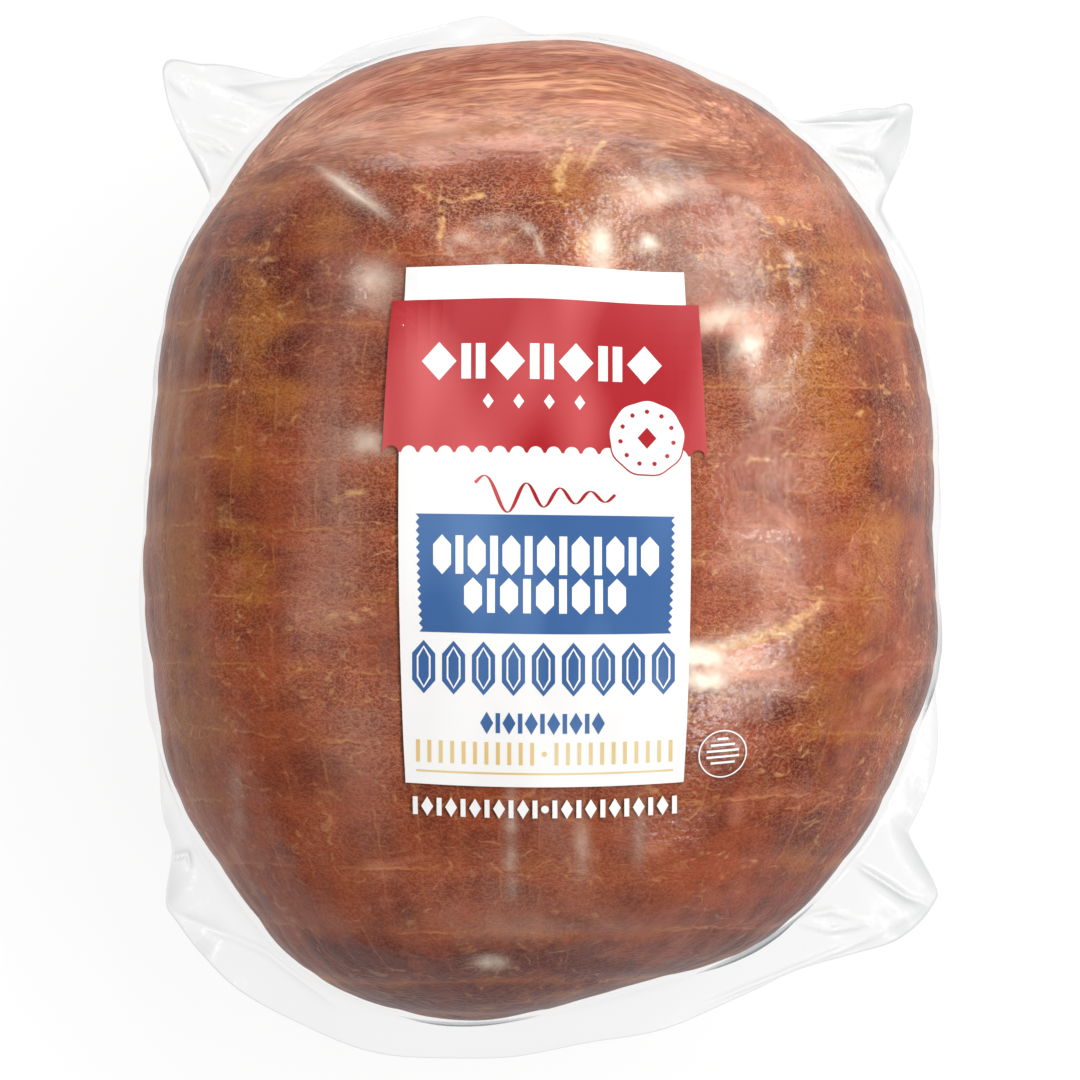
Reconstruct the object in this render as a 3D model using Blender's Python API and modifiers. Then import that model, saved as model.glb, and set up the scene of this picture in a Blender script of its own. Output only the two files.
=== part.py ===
"""A boneless oval ham sealed in a clear vacuum bag, lying with its label up.

Metres, +Z up. The ham rests on a flat spot at z = 0, its length runs along Y, and the origin is
in the middle of that spot. The bag clings to the ham, so ham and bag are one solid, with the
sealed margin of film standing out all round at the widest level. The label is a thin sheet
on top.
"""

import math

import bmesh
import bpy
from mathutils import Vector

# The ham: a rounded oval, fuller than an ellipse, with shoulders.
HALF_WIDTH = 0.1015
HALF_LENGTH = 0.1250
OVAL_POWER = 2.2
SHOULDER_POWER = 2.6
MID_HEIGHT = 0.058
RISE = 0.067
DROP = 0.068
REST_BLEND = 0.003
CUTS_PER_SIDE = 23

# What makes the plan uneven: waves per turn, how far they stand out, the angle they point to.
PLAN_LOBES = (
    (1, 0.00137, 170.9),
    (2, 0.00147, 39.4),
    (3, 0.00207, -4.7),
    (4, 0.00169, -41.2),
    (5, 0.00077, -33.7),
    (6, 0.00064, 14.6),
    (7, 0.00030, -12.7),
)

# Broad swells of the meat: wavelength, height, heading round Z, tilt up, phase.
SWELLS = (
    (0.074, 0.0007, 25.0, 10.0, 0.4),
    (0.058, 0.0006, 100.0, -15.0, 2.1),
    (0.047, 0.0004, 150.0, 25.0, 4.0),
    (0.041, 0.0003, 62.0, 0.0, 5.3),
)
SWELL_UNDER_LABEL = 0.35

# Hollows in the top: x, y, radius, depth.
HOLLOWS = (
    (-0.041, 0.058, 0.009, 0.0022),
    (-0.047, 0.072, 0.016, 0.0012),
    (0.062, 0.026, 0.020, 0.0015),
    (-0.012, 0.080, 0.014, 0.0010),
    (0.050, -0.078, 0.022, 0.0012),
    (-0.062, -0.030, 0.024, 0.0010),
)

# The sealed film margin: its thickness, and how far it reaches past the ham.
FILM_THICKNESS = 0.0009
FILM_ROOT_DEPTH = 0.006
SIDE_MARGIN = 0.0014
EDGE_RIPPLE = 0.0004
RING_STEPS = 180
RING_ROWS = 4
CORNER_CROWDING = 0.6

# Where the margin widens: angles where it starts, is full, starts to fall and ends, and by how much.
WIDER_FILM = {
    "bottom seal": (219.0, 225.5, 308.0, 320.0, 0.0105),
    "lower right side": (308.0, 320.0, 321.0, 347.0, 0.0086),
    "top seal": (58.0, 63.0, 84.0, 92.0, 0.0016),
    "top left seal": (90.0, 97.0, 116.0, 133.0, 0.0052),
    "upper right side": (18.0, 35.0, 44.0, 56.0, 0.0030),
    "lower left side": (208.0, 219.0, 219.0, 225.0, 0.0050),
    "top left ear": (117.0, 128.8, 129.6, 134.8, 0.0240),
    "top right ear": (43.9, 48.0, 49.4, 60.0, 0.0186),
    "lower left ear": (221.0, 226.0, 227.0, 254.0, 0.0050),
    "lower right ear": (297.0, 315.2, 317.0, 320.8, 0.0150),
}

# How the ears of film curl: angle, half the spread, lift of the tip.
EAR_CURLS = (
    (129.0, 9.0, 0.0035),
    (48.8, 8.0, -0.0025),
    (226.0, 9.0, 0.0030),
    (314.0, 9.0, -0.0030),
)

# The label: a tall panel with a wider band across it, whose lower edge is scalloped.
LABEL_THICKNESS = 0.0004
LABEL_GAP = 0.0006
PANEL_MIDDLE = Vector((0.0009, 0.0006))
PANEL_WIDTH = 0.0678
PANEL_HEIGHT = 0.1254
PANEL_BOW = 0.0016
TOP_SLANT = 0.024
BAND_TOP = 0.0551
BAND_BOTTOM = 0.0186
BAND_TOP_WIDTH = 0.0748
BAND_BOTTOM_WIDTH = 0.0790
SCALLOP_PITCH = 0.0044
SCALLOP_STEPS = 6
SIDE_STEPS = 4


def smooth_step(value):
    value = min(max(value, 0.0), 1.0)
    return value * value * (3 - 2 * value)


def plan_radius(angle):
    """How far the ham reaches from its middle at this angle, at its widest level."""
    across = abs(math.cos(angle) / HALF_WIDTH) ** OVAL_POWER
    along = abs(math.sin(angle) / HALF_LENGTH) ** OVAL_POWER
    radius = (across + along) ** (-1 / OVAL_POWER)
    for waves, height, heading in PLAN_LOBES:
        radius += height * math.cos(waves * (angle - math.radians(heading)))
    return radius


def under_label(x, y):
    """1 under the label, falling to 0 well outside it."""
    beside = abs(x - PANEL_MIDDLE.x) - PANEL_WIDTH / 2
    beyond = abs(y - PANEL_MIDDLE.y) - PANEL_HEIGHT / 2
    return 1 - smooth_step(max(beside, beyond) / 0.02)


def swell(point):
    """How far the meat stands out here, with its broad swells and hollows."""
    out = 0.0
    for length, height, heading, tilt, phase in SWELLS:
        turn, lean = math.radians(heading), math.radians(tilt)
        way = Vector((math.cos(turn) * math.cos(lean), math.sin(turn) * math.cos(lean), math.sin(lean)))
        out += height * math.sin(2 * math.pi * point.dot(way) / length + phase)
    if point.z < MID_HEIGHT:
        return out
    out *= 1 - (1 - SWELL_UNDER_LABEL) * under_label(point.x, point.y)
    top = smooth_step((point.z - MID_HEIGHT) / 0.03)
    for x, y, radius, depth in HOLLOWS:
        away = math.hypot(point.x - x, point.y - y) / radius
        out -= top * depth * math.exp(-away * away)
    return out


def rested(height):
    """Presses what would be below the table flat against it, with a soft edge."""
    if height > REST_BLEND:
        return height
    if height < -REST_BLEND:
        return 0.0
    return (height + REST_BLEND) ** 2 / (4 * REST_BLEND)


def skin_point(angle, reach, rise, lift=0.0):
    """A point of the skin from its shares of the plan radius and of the half height."""
    radius = plan_radius(angle)
    half_height = RISE if rise > 0 else DROP
    round_way = Vector((math.cos(angle), math.sin(angle), 0))
    base = round_way * reach * radius
    base.z = MID_HEIGHT + rise * half_height
    outward = round_way * (reach ** (SHOULDER_POWER - 1) / radius)
    outward.z = math.copysign(abs(rise) ** (SHOULDER_POWER - 1) / half_height, rise)
    point = base + outward.normalized() * (swell(base) + lift)
    point.z = rested(point.z)
    return point


def skin_toward(direction):
    across = math.hypot(direction.x, direction.y)
    power = SHOULDER_POWER
    scale = (across**power + abs(direction.z) ** power) ** (-1 / power)
    return skin_point(math.atan2(direction.y, direction.x), scale * across, scale * direction.z)


def top_point(x, y, lift):
    """The point of the top of the ham above this place, raised off it by lift."""
    angle = math.atan2(y, x)
    reach = math.hypot(x, y) / plan_radius(angle)
    rise = (1 - reach**SHOULDER_POWER) ** (1 / SHOULDER_POWER)
    return skin_point(angle, reach, rise, lift)


def margin(angle):
    """How far the film stands out past the ham at this angle."""
    degrees = math.degrees(angle) % 360
    wide = SIDE_MARGIN + EDGE_RIPPLE * (math.sin(9 * angle) + math.sin(23 * angle + 1.0))
    for start, full, falls, end, extra in WIDER_FILM.values():
        rising = smooth_step((degrees - start) / (full - start))
        falling = 1 - smooth_step((degrees - falls) / (end - falls))
        wide += extra * rising * falling
    return wide


def crowded_angle(turn):
    """Draws evenly spaced angles together toward the four corners, where the ears need them."""
    return turn - CORNER_CROWDING / 4 * math.sin(4 * (turn - math.pi / 4))


def film_level(angle, out):
    """Height of the film margin: level at the ham, and wavy and curled toward its edge."""
    level = MID_HEIGHT
    level += out * (0.0012 * math.sin(5 * angle + 1.0) + 0.0008 * math.sin(13 * angle))
    for degrees, spread, lift in EAR_CURLS:
        away = (math.degrees(angle) % 360 - degrees) / spread
        level += lift * out * out * math.exp(-away * away)
        level += 0.0012 * out * math.exp(-away * away) * math.sin(math.radians(degrees) + 9 * away)
    return level


def material(name, colour, roughness, alpha=1.0):
    made = bpy.data.materials.new(name)
    made.use_nodes = True
    made.diffuse_color = (*colour, 1.0)
    shader = made.node_tree.nodes["Principled BSDF"]
    shader.inputs["Base Color"].default_value = (*colour, 1.0)
    shader.inputs["Roughness"].default_value = roughness
    shader.inputs["Metallic"].default_value = 0.0
    shader.inputs["Alpha"].default_value = alpha
    return made


def add_object(name, bm, collection, made_of=None):
    mesh = bpy.data.meshes.new(name)
    bm.to_mesh(mesh)
    bm.free()
    for polygon in mesh.polygons:
        polygon.use_smooth = True
    if made_of:
        mesh.materials.append(made_of)
    obj = bpy.data.objects.new(name, mesh)
    collection.objects.link(obj)
    return obj


def hide_helper(obj):
    obj.hide_render = True
    obj.display_type = "WIRE"


def add_boolean(obj, operation, helper):
    cut = obj.modifiers.new(operation.title(), "BOOLEAN")
    cut.operation = operation
    cut.solver = "EXACT"
    cut.object = helper


def add_film_margin(collection):
    """The ring of sealed film: a strip wrapped round the ham, then given its thickness."""
    bm = bmesh.new()
    bmesh.ops.create_grid(bm, x_segments=RING_STEPS, y_segments=RING_ROWS, size=1.0)
    for vertex in bm.verts:
        angle = crowded_angle(math.pi * (vertex.co.x + 1))
        out = (vertex.co.y + 1) / 2
        radius = plan_radius(angle)
        reach = radius - FILM_ROOT_DEPTH + out * (margin(angle) + FILM_ROOT_DEPTH)
        vertex.co = (reach * math.cos(angle), reach * math.sin(angle), film_level(angle, out))
    bmesh.ops.remove_doubles(bm, verts=bm.verts[:], dist=0.00001)
    bmesh.ops.recalc_face_normals(bm, faces=bm.faces[:])
    ring = add_object("film_margin", bm, collection)
    thick = ring.modifiers.new("Thickness", "SOLIDIFY")
    thick.thickness = FILM_THICKNESS
    thick.offset = 0.0
    thick.use_rim = True
    hide_helper(ring)
    return ring


def add_bagged_ham(collection, helpers):
    """The ham with the bag drawn tight on it: a rounded cube blown out to the oval form."""
    bm = bmesh.new()
    bmesh.ops.create_cube(bm, size=2.0)
    bmesh.ops.subdivide_edges(bm, edges=bm.edges[:], cuts=CUTS_PER_SIDE, use_grid_fill=True)
    for vertex in bm.verts:
        spread = Vector(math.tan(math.pi / 4 * share) for share in vertex.co)
        vertex.co = skin_toward(spread.normalized())
    bmesh.ops.recalc_face_normals(bm, faces=bm.faces[:])
    glazed = material("clear_bag_over_ham", (0.278, 0.098, 0.058), 0.28)
    ham = add_object("bagged_ham", bm, collection, glazed)
    add_boolean(ham, "UNION", add_film_margin(helpers))
    return ham


def panel_edge_at(side, y):
    """X of the panel's left (-1) or right (1) edge, bowed by the round of the ham."""
    along = (y - PANEL_MIDDLE.y) / (PANEL_HEIGHT / 2)
    return PANEL_MIDDLE.x + side * (PANEL_WIDTH / 2 + PANEL_BOW * (1 - along * along))


def panel_side(side, upper, lower):
    """The panel's edge on one side between two heights, downward."""
    heights = [upper + (lower - upper) * step / SIDE_STEPS for step in range(SIDE_STEPS + 1)]
    return [(panel_edge_at(side, y), y) for y in heights]


def scalloped_corner(side):
    """The band's lower edge beyond one side of the panel, from its corner inwards."""
    corner = PANEL_MIDDLE.x + side * BAND_BOTTOM_WIDTH / 2
    panel_edge = panel_edge_at(side, BAND_BOTTOM)
    points = []
    for step in range(SCALLOP_STEPS + 1):
        share = step / SCALLOP_STEPS
        x = corner + (panel_edge - corner) * share
        points.append((x, BAND_BOTTOM + SCALLOP_PITCH * 0.28 * math.sin(math.pi * share)))
    return points


def label_outline():
    """The label's outline, counterclockwise from the top left, its top slanting down to the right."""
    top = PANEL_MIDDLE.y + PANEL_HEIGHT / 2
    bottom = PANEL_MIDDLE.y - PANEL_HEIGHT / 2
    halves = []
    for side in (-1, 1):
        half = [(panel_edge_at(side, top), top), (panel_edge_at(side, BAND_TOP), BAND_TOP)]
        half += [(PANEL_MIDDLE.x + side * BAND_TOP_WIDTH / 2, BAND_TOP)]
        half += scalloped_corner(side)
        half += panel_side(side, BAND_BOTTOM, bottom)[1:]
        halves.append(half)
    points = halves[0] + halves[1][::-1]
    return [(x, y - TOP_SLANT * x * (y - bottom) / PANEL_HEIGHT) for x, y in points]


def add_label_die(collection):
    """An upright prism of the label's outline, which trims the sheet to shape."""
    bm = bmesh.new()
    rim = [bm.verts.new((x, y, MID_HEIGHT)) for x, y in label_outline()]
    face = bm.faces.new(rim)
    pushed = bmesh.ops.extrude_face_region(bm, geom=[face])["geom"]
    risen = [item for item in pushed if isinstance(item, bmesh.types.BMVert)]
    bmesh.ops.translate(bm, verts=risen, vec=(0, 0, 2 * RISE))
    bmesh.ops.triangulate(bm, faces=bm.faces[:])
    bmesh.ops.recalc_face_normals(bm, faces=bm.faces[:])
    die = add_object("label_die", bm, collection)
    hide_helper(die)
    return die


def add_label(collection, helpers):
    """A sheet laid on the top of the bag, following its form, and trimmed by the die."""
    bm = bmesh.new()
    bmesh.ops.create_grid(bm, x_segments=14, y_segments=24, size=1.0)
    for vertex in bm.verts:
        x = PANEL_MIDDLE.x + vertex.co.x * (BAND_BOTTOM_WIDTH / 2 + 0.002)
        y = PANEL_MIDDLE.y + vertex.co.y * (PANEL_HEIGHT / 2 + 0.002)
        vertex.co = top_point(x, y, LABEL_GAP)
    bmesh.ops.recalc_face_normals(bm, faces=bm.faces[:])
    label = add_object("label", bm, collection, material("printed_label", (0.86, 0.85, 0.84), 0.35))
    thick = label.modifiers.new("Thickness", "SOLIDIFY")
    thick.thickness = LABEL_THICKNESS
    thick.offset = 1.0
    thick.use_rim = True
    add_boolean(label, "INTERSECT", add_label_die(helpers))
    return label


def main():
    for obj in list(bpy.data.objects):
        bpy.data.objects.remove(obj, do_unlink=True)
    parts = bpy.data.collections.new("bagged_ham_parts")
    helpers = bpy.data.collections.new("helpers")
    bpy.context.scene.collection.children.link(parts)
    bpy.context.scene.collection.children.link(helpers)
    add_bagged_ham(parts, helpers)
    add_label(parts, helpers)


main()
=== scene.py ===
"""A boneless ham in a clear vacuum bag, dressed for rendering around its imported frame.

Metres, +Z up. The ham lies on z = 0 with its label up and its length along Y.
"""

import math

import bmesh
import bpy
import numpy as np
from mathutils import Matrix, Vector, noise


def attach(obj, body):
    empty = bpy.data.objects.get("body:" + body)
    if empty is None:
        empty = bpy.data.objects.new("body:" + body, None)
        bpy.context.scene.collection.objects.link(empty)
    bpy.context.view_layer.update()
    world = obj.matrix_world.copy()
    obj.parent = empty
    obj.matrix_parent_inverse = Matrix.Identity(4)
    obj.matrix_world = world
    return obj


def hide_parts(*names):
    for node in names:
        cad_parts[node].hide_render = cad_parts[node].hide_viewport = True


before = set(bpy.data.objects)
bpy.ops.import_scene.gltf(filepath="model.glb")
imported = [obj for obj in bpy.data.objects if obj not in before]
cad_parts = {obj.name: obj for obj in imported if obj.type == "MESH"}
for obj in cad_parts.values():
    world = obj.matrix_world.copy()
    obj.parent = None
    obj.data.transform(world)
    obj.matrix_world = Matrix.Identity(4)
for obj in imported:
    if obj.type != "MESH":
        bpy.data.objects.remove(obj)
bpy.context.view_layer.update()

# The camera looks straight down on the label with a long lens, from 1.4 m above the level
# where the ham is widest. What it sees there is 275.5 mm across.
WIDEST_LEVEL = 0.058
CAMERA_RISE = 1.40
VIEW_WIDTH = 0.2755
VIEW_MIDDLE = (-0.00026, -0.00306)

camera_data = bpy.data.cameras.new("camera")
camera_data.lens = camera_data.sensor_width * CAMERA_RISE / VIEW_WIDTH
camera_data.clip_start = 0.01
camera_data.clip_end = 50.0
camera = bpy.data.objects.new("camera", camera_data)
camera.location = (*VIEW_MIDDLE, WIDEST_LEVEL + CAMERA_RISE)
bpy.context.scene.collection.objects.link(camera)
bpy.context.scene.camera = camera
bpy.context.scene.view_settings.view_transform = "Standard"

# The floor is a broad white acrylic table lit from below, so that shadows on it stay faint.
# Its glow gives most of its white, and the lamps and the sky the rest.
FLOOR_SIZE = 8.0
FLOOR_GLOW = 0.90


def linear(hex_colour):
    """An sRGB hex colour as the linear values that a shader takes."""
    shares = [int(hex_colour[i : i + 2], 16) / 255 for i in (1, 3, 5)]
    return (*(s / 12.92 if s <= 0.04045 else ((s + 0.055) / 1.055) ** 2.4 for s in shares), 1.0)


def start_material(name):
    """A new material with an empty node tree."""
    made = bpy.data.materials.new(name)
    made.use_nodes = True
    made.node_tree.nodes.clear()
    return made, made.node_tree


def add_node(tree, kind, settings=None, inputs=None, out=0):
    """Adds a node with its settings and its inputs, linked or set, and gives one output."""
    made = tree.nodes.new(kind)
    for name, value in (settings or {}).items():
        setattr(made, name, value)
    for name, value in (inputs or {}).items():
        if isinstance(value, bpy.types.NodeSocket):
            tree.links.new(value, made.inputs[name])
        else:
            made.inputs[name].default_value = value
    return made.outputs[out] if made.outputs else None


def add_piece(name, bm, made_of, smooth=True):
    """Turns a finished bmesh into an object of the scene."""
    mesh = bpy.data.meshes.new(name)
    bm.to_mesh(mesh)
    bm.free()
    mesh.polygons.foreach_set("use_smooth", [smooth] * len(mesh.polygons))
    mesh.materials.append(made_of)
    piece = bpy.data.objects.new(name, mesh)
    bpy.context.scene.collection.objects.link(piece)
    return piece


acrylic, tree = start_material("lit_white_acrylic")
glow = add_node(tree, "ShaderNodeEmission", inputs={"Color": linear("#ffffff"), "Strength": FLOOR_GLOW})
sheet = add_node(tree, "ShaderNodeBsdfDiffuse", inputs={"Color": linear("#626262")})
shader = add_node(tree, "ShaderNodeAddShader", inputs={0: glow, 1: sheet})
add_node(tree, "ShaderNodeOutputMaterial", inputs={"Surface": shader})
# The floor is broad enough to be found by chance, so the lamps get all the light samples.
acrylic.cycles.emission_sampling = "NONE"

bm = bmesh.new()
bmesh.ops.create_grid(bm, x_segments=1, y_segments=1, size=FLOOR_SIZE / 2)
add_piece("floor", bm, acrylic)

# The lamps are soft boxes: a tall key on the right, a low strip beyond the top end, and small
# ones for glints. The film mirrors all but the key box and the left fill, which only light the
# meat. For each: heading round Z from +X, rise above the floor, width, height, radiance, mirrored.
LAMP_DISTANCE = 1.5
LAMPS = {
    "key_box": (14, 56, 0.40, 1.10, 5.2, False),
    "key_edge": (4, 54, 0.14, 1.90, 6.0, True),
    "low_glint": (322, 56, 0.16, 0.26, 22.0, True),
    "side_glint": (34, 54, 0.16, 0.22, 24.0, True),
    "upper_glint": (76, 56, 0.12, 0.20, 26.0, True),
    "upper_window": (57, 40, 0.26, 0.40, 9.0, True),
    "top_strip": (94, 27, 0.26, 1.30, 6.5, True),
    "label_glow": (112, 67, 0.16, 0.30, 7.0, True),
    "left_fill": (176, 42, 1.00, 1.40, 0.3, False),
}
ZENITH_LIGHT = 0.16
HORIZON_LIGHT = 0.95

for name, (heading, rise, wide, tall, radiance, mirrored) in LAMPS.items():
    light = bpy.data.lights.new(name, "AREA")
    light.shape = "RECTANGLE"
    light.size, light.size_y = wide, tall
    # A lamp's light is followed for one bounce. What comes after hardly shows.
    light.cycles.max_bounces = 1
    light.energy = radiance * math.pi * wide * tall
    heading, rise = math.radians(heading), math.radians(rise)
    way = Vector((math.cos(heading) * math.cos(rise), math.sin(heading) * math.cos(rise), math.sin(rise)))
    box = bpy.data.objects.new(name, light)
    box.location = Vector((0, 0, WIDEST_LEVEL)) + way * LAMP_DISTANCE
    # A box is turned round Z and then tipped, so that its long side stays level.
    box.rotation_euler = (0, math.pi / 2 - rise, heading)
    box.visible_glossy = mirrored
    bpy.context.scene.collection.objects.link(box)

studio = bpy.data.worlds.new("studio")
studio.use_nodes = True
tree = studio.node_tree
tree.nodes.clear()
place = add_node(tree, "ShaderNodeTexCoord", out=0)
height = add_node(tree, "ShaderNodeSeparateXYZ", inputs={0: place}, out=2)
strength = add_node(
    tree,
    "ShaderNodeMapRange",
    {"interpolation_type": "SMOOTHSTEP"},
    {"Value": height, "From Min": 0.10, "From Max": 0.32, "To Min": HORIZON_LIGHT, "To Max": ZENITH_LIGHT},
)
sky = add_node(tree, "ShaderNodeBackground", inputs={"Color": linear("#ffffff"), "Strength": strength})
add_node(tree, "ShaderNodeOutputWorld", inputs={"Surface": sky})
# The sky is even enough to be found by chance, which leaves more samples for the lamps.
studio.cycles.sampling_method = "NONE"
bpy.context.scene.world = studio

# The ham: boneless cured pork pressed into a rounded oval in a net, then smoked. Its form is
# the solid's, from the same sizes, with the net's marks and the grain of the meat added.
HALF_WIDTH = 0.1015
HALF_LENGTH = 0.1250
OVAL_POWER = 2.2
SHOULDER_POWER = 2.6
RISE = 0.067
DROP = 0.068
REST_BLEND = 0.003
# Lobes of the outline: waves round it, height and heading. Swells: wave length, height, heading,
# tilt and phase. Hollows: X, Y, radius and depth.
PLAN_LOBES = (
    (1, 0.00137, 170.9),
    (2, 0.00147, 39.4),
    (3, 0.00207, -4.7),
    (4, 0.00169, -41.2),
    (5, 0.00077, -33.7),
    (6, 0.00064, 14.6),
    (7, 0.00030, -12.7),
)
SWELLS = (
    (0.074, 0.0007, 25.0, 10.0, 0.4),
    (0.058, 0.0006, 100.0, -15.0, 2.1),
    (0.047, 0.0004, 150.0, 25.0, 4.0),
    (0.041, 0.0003, 62.0, 0.0, 5.3),
)
SWELL_UNDER_LABEL = 0.35
HOLLOWS = (
    (-0.041, 0.058, 0.009, 0.0022),
    (-0.047, 0.072, 0.016, 0.0012),
    (0.062, 0.026, 0.020, 0.0015),
    (-0.012, 0.080, 0.014, 0.0010),
    (0.050, -0.078, 0.022, 0.0012),
    (-0.062, -0.030, 0.024, 0.0010),
)
LABEL_MIDDLE = (0.0009, 0.0006)
LABEL_WIDTH = 0.0678
LABEL_HEIGHT = 0.1254
MEAT_CUTS = 107
MEAT_SINK = 0.0003
NET_ROW = 0.0166
NET_COLUMN = 0.0113
NET_GROOVE = 0.00030
GROOVE_SPREAD = 0.0022
NET_OFFSET = 0.43


def smooth_step(value):
    value = np.clip(value, 0.0, 1.0)
    return value * value * (3 - 2 * value)


def plan_radius(angle):
    """How far the ham reaches from its middle at each angle, at its widest level."""
    across = np.abs(np.cos(angle) / HALF_WIDTH) ** OVAL_POWER
    along = np.abs(np.sin(angle) / HALF_LENGTH) ** OVAL_POWER
    radius = (across + along) ** (-1 / OVAL_POWER)
    for waves, height, heading in PLAN_LOBES:
        radius = radius + height * np.cos(waves * (angle - math.radians(heading)))
    return radius


def under_label(x, y):
    """1 under the label, falling to 0 well outside it."""
    beside = np.abs(x - LABEL_MIDDLE[0]) - LABEL_WIDTH / 2
    beyond = np.abs(y - LABEL_MIDDLE[1]) - LABEL_HEIGHT / 2
    return 1 - smooth_step(np.maximum(beside, beyond) / 0.02)


def swell(x, y, z):
    """How far the meat stands out, with its broad swells and hollows."""
    out = np.zeros_like(x)
    for length, height, heading, tilt, phase in SWELLS:
        turn, lean = math.radians(heading), math.radians(tilt)
        way = math.cos(turn) * math.cos(lean) * x + math.sin(turn) * math.cos(lean) * y + math.sin(lean) * z
        out += height * np.sin(2 * math.pi * way / length + phase)
    top = smooth_step((z - WIDEST_LEVEL) / 0.03)
    upper = z >= WIDEST_LEVEL
    out *= np.where(upper, 1 - (1 - SWELL_UNDER_LABEL) * under_label(x, y), 1.0)
    for hollow_x, hollow_y, radius, depth in HOLLOWS:
        away = np.hypot(x - hollow_x, y - hollow_y) / radius
        out -= top * depth * np.exp(-away * away)
    return out


def skin_points(angle, reach, rise, lift=0.0, lowest=0.0):
    """Points of the skin from their shares of the plan radius and of the half height."""
    radius = plan_radius(angle)
    half_height = np.where(rise > 0, RISE, DROP)
    x = np.cos(angle) * reach * radius
    y = np.sin(angle) * reach * radius
    z = WIDEST_LEVEL + rise * half_height
    steep = reach ** (SHOULDER_POWER - 1) / radius
    up = np.sign(rise) * np.abs(rise) ** (SHOULDER_POWER - 1) / half_height
    size = np.hypot(steep, up)
    out = swell(x, y, z) + lift
    x = x + np.cos(angle) * steep / size * out
    y = y + np.sin(angle) * steep / size * out
    z = z + up / size * out
    pressed = (z + REST_BLEND) ** 2 / (4 * REST_BLEND)
    z = np.where(z > REST_BLEND, z, np.where(z < -REST_BLEND, 0.0, pressed))
    return np.stack([x, y, np.maximum(z, lowest)], axis=1)


def rounded_shares(across, upward):
    """Shares of the plan radius and the half height in a direction across and upward."""
    power = SHOULDER_POWER
    scale = (across**power + np.abs(upward) ** power) ** (-1 / power)
    return scale * across, scale * upward


def top_points(x, y, lift):
    """Points of the top of the ham above these places, raised off it by lift."""
    angle = np.arctan2(y, x)
    reach = np.hypot(x, y) / plan_radius(angle)
    rise = (1 - np.minimum(reach, 0.999) ** SHOULDER_POWER) ** (1 / SHOULDER_POWER)
    return skin_points(angle, reach, rise, lift)


def walked_length(profile_across, profile_up, at):
    """Arc length along a rounded profile, at points given by their direction from its middle."""
    turn = np.linspace(-math.pi, math.pi, 2001)
    reach, rise = rounded_shares(np.abs(np.sin(turn)), np.cos(turn))
    across = np.sign(np.sin(turn)) * reach * profile_across
    up = rise * profile_up
    walked = np.concatenate([[0.0], np.cumsum(np.hypot(np.diff(across), np.diff(up)))])
    return np.interp(at, turn, walked - walked[1000])


def net_place(points):
    """Each point's place on the net: round the girth, and along the length."""
    x, y, z = points.T
    girth = walked_length(HALF_WIDTH, RISE, np.arctan2(x / HALF_WIDTH, (z - WIDEST_LEVEL) / RISE))
    share = np.clip(np.abs(y) / (HALF_LENGTH + 0.003), 0.0, 0.999)
    rise = (1 - share**SHOULDER_POWER) ** (1 / SHOULDER_POWER)
    length = np.sign(y) * walked_length(HALF_LENGTH, RISE, np.arctan2(share, rise))
    return girth, length


def noise_at(points, size, seed):
    """Smooth noise from -1 to 1 whose bumps are about this size, in metres."""
    shift = Vector((seed * 3.7, seed * 1.9, seed * 2.3))
    return np.array([noise.noise(Vector(point) / size + shift) for point in points])


def soft_spots(x, y, spots):
    """1 in the middle of each oval spot, given in mm, falling smoothly to 0 outside them all."""
    found = np.zeros_like(x)
    for spot_x, spot_y, wide, tall, strength in spots:
        away = ((x * 1000 - spot_x) / wide) ** 2 + ((y * 1000 - spot_y) / tall) ** 2
        found = np.maximum(found, strength * np.exp(-away))
    return found


def line_share(x, y, points, width):
    """1 on a line through points given in mm, fading beside it and toward its two ends."""
    path = np.array(points) / 1000
    steps = np.linalg.norm(np.diff(path, axis=0), axis=1)
    starts = np.concatenate([[0.0], np.cumsum(steps)])
    nearest = np.full_like(x, 1.0)
    share = np.zeros_like(x)
    for index, step in enumerate(steps):
        way = (path[index + 1] - path[index]) / step
        travelled = np.clip((x - path[index][0]) * way[0] + (y - path[index][1]) * way[1], 0, step)
        beside_x = x - path[index][0] - travelled * way[0]
        beside_y = y - path[index][1] - travelled * way[1]
        away = np.hypot(beside_x, beside_y)
        share = np.where(away < nearest, (starts[index] + travelled) / starts[-1], share)
        nearest = np.minimum(nearest, away)
    fading = np.sqrt(np.sin(math.pi * np.clip(share, 0.04, 0.96)))
    return np.exp(-nearest / (0.8 * width / 1000)) * fading


def net_pillow(girth, length):
    """How far the meat stands proud of the net's grooves, from 0 in a groove to 1 between them."""
    row_away = np.abs((length / NET_ROW + 0.5) % 1.0 - 0.5) * NET_ROW
    column_away = np.abs((girth / NET_COLUMN + 0.5) % 1.0 - 0.5) * NET_COLUMN
    row_groove = np.exp(-((row_away / GROOVE_SPREAD) ** 2))
    return 1 - row_groove - 0.5 * np.exp(-((column_away / GROOVE_SPREAD) ** 2))


bm = bmesh.new()
bmesh.ops.create_cube(bm, size=2.0)
bmesh.ops.subdivide_edges(bm, edges=bm.edges[:], cuts=MEAT_CUTS, use_grid_fill=True)
spread = np.tan(math.pi / 4 * np.array([vertex.co[:] for vertex in bm.verts]))
spread /= np.linalg.norm(spread, axis=1)[:, None]
angle = np.arctan2(spread[:, 1], spread[:, 0])
reach, rise = rounded_shares(np.hypot(spread[:, 0], spread[:, 1]), spread[:, 2])
smooth_form = skin_points(angle, reach, rise)
girth, length = net_place(smooth_form)
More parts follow.
